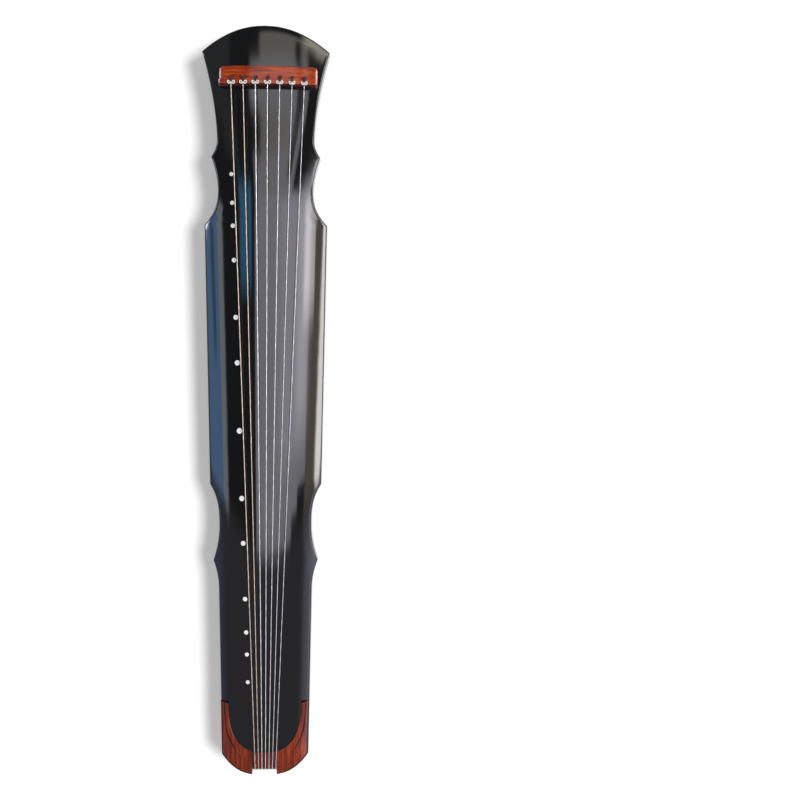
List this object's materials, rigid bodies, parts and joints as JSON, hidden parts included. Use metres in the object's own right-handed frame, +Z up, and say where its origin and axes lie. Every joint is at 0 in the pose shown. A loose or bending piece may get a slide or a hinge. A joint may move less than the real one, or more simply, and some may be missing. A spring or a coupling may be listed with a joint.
{
  "type": "guqin",
  "caption": "Plucked zither with an arched, scooped body of black lacquered boards, tuning pegs under the head, strings wound on two feet and pearl studs along one side.",
  "frame": {"origin": "on the surface that the instrument stands on, under the middle of its outline", "axes": "+X along the body to the head, +Y to the side with the studs, which is the far side from the player, +Z up out of the face"},
  "size_m": [1.22, 0.206, 0.1057],
  "materials": {
    "black_lacquer": "polished black lacquer over wood",
    "red_wood": "oiled and polished red-brown hardwood with long grain",
    "peg_wood": "turned dark red hardwood with a gloss finish",
    "inner_wood": "bare planed wood",
    "pearl": "polished shell pearl",
    "tan_string": "smooth coppery tan wound string",
    "silver_string": "smooth silver string",
    "cord_fibre": "twisted dark purple-brown cord"
  },
  "bodies": {
    "root": {"top_board": "black_lacquer", "bottom_board": "black_lacquer", "sound_post_round": "inner_wood", "sound_post_square": "inner_wood", "bridge": "red_wood", "dew_strip": "red_wood", "tail_nut": "red_wood", "lower_nut": "red_wood", "peg_plate": "red_wood", "tail_crown_far": "red_wood", "tail_crown_near": "red_wood", "tail_back_plate_far": "red_wood", "tail_back_plate_near": "red_wood", "head_pad_far": "black_lacquer", "head_pad_near": "black_lacquer", "foot_socket_far": "inner_wood", "foot_socket_near": "inner_wood", "goose_foot_far": "peg_wood", "goose_foot_near": "peg_wood", "stud_1": "pearl", "stud_2": "pearl", "stud_3": "pearl", "stud_4": "pearl", "stud_5": "pearl", "stud_6": "pearl", "stud_7": "pearl", "stud_8": "pearl", "stud_9": "pearl", "stud_10": "pearl", "stud_11": "pearl", "stud_12": "pearl", "stud_13": "pearl", "tuning_loop_1": "cord_fibre", "tuning_loop_2": "cord_fibre", "tuning_loop_3": "cord_fibre", "tuning_loop_4": "cord_fibre", "tuning_loop_5": "cord_fibre", "tuning_loop_6": "cord_fibre", "tuning_loop_7": "cord_fibre", "cord_tail_1": "cord_fibre", "cord_tail_2": "cord_fibre", "cord_tail_3": "cord_fibre", "cord_tail_4": "cord_fibre", "cord_tail_5": "cord_fibre", "cord_tail_6": "cord_fibre", "cord_tail_7": "cord_fibre", "string_1": "tan_string", "string_2": "tan_string", "string_3": "silver_string", "string_4": "silver_string", "string_5": "silver_string", "string_6": "silver_string", "string_7": "silver_string"},
    "tuning_peg_1": {"peg_1": "peg_wood"},
    "tuning_peg_2": {"peg_2": "peg_wood"},
    "tuning_peg_3": {"peg_3": "peg_wood"},
    "tuning_peg_4": {"peg_4": "peg_wood"},
    "tuning_peg_5": {"peg_5": "peg_wood"},
    "tuning_peg_6": {"peg_6": "peg_wood"},
    "tuning_peg_7": {"peg_7": "peg_wood"}
  },
  "joints": [
    {"name": "peg_1_turn", "type": "hinge", "parent": "root", "child": "tuning_peg_1", "pos_m": [0.5269, 0.0532, 0.03], "axis": [0, 0, 1], "continuous": true},
    {"name": "peg_2_turn", "type": "hinge", "parent": "root", "child": "tuning_peg_2", "pos_m": [0.5269, 0.0338, 0.03], "axis": [0, 0, 1], "continuous": true},
    {"name": "peg_3_turn", "type": "hinge", "parent": "root", "child": "tuning_peg_3", "pos_m": [0.5269, 0.0144, 0.03], "axis": [0, 0, 1], "continuous": true},
    {"name": "peg_4_turn", "type": "hinge", "parent": "root", "child": "tuning_peg_4", "pos_m": [0.5269, -0.005, 0.03], "axis": [0, 0, 1], "continuous": true},
    {"name": "peg_5_turn", "type": "hinge", "parent": "root", "child": "tuning_peg_5", "pos_m": [0.5269, -0.0244, 0.03], "axis": [0, 0, 1], "continuous": true},
    {"name": "peg_6_turn", "type": "hinge", "parent": "root", "child": "tuning_peg_6", "pos_m": [0.5269, -0.0438, 0.03], "axis": [0, 0, 1], "continuous": true},
    {"name": "peg_7_turn", "type": "hinge", "parent": "root", "child": "tuning_peg_7", "pos_m": [0.5269, -0.0632, 0.03], "axis": [0, 0, 1], "continuous": true}
  ]
}
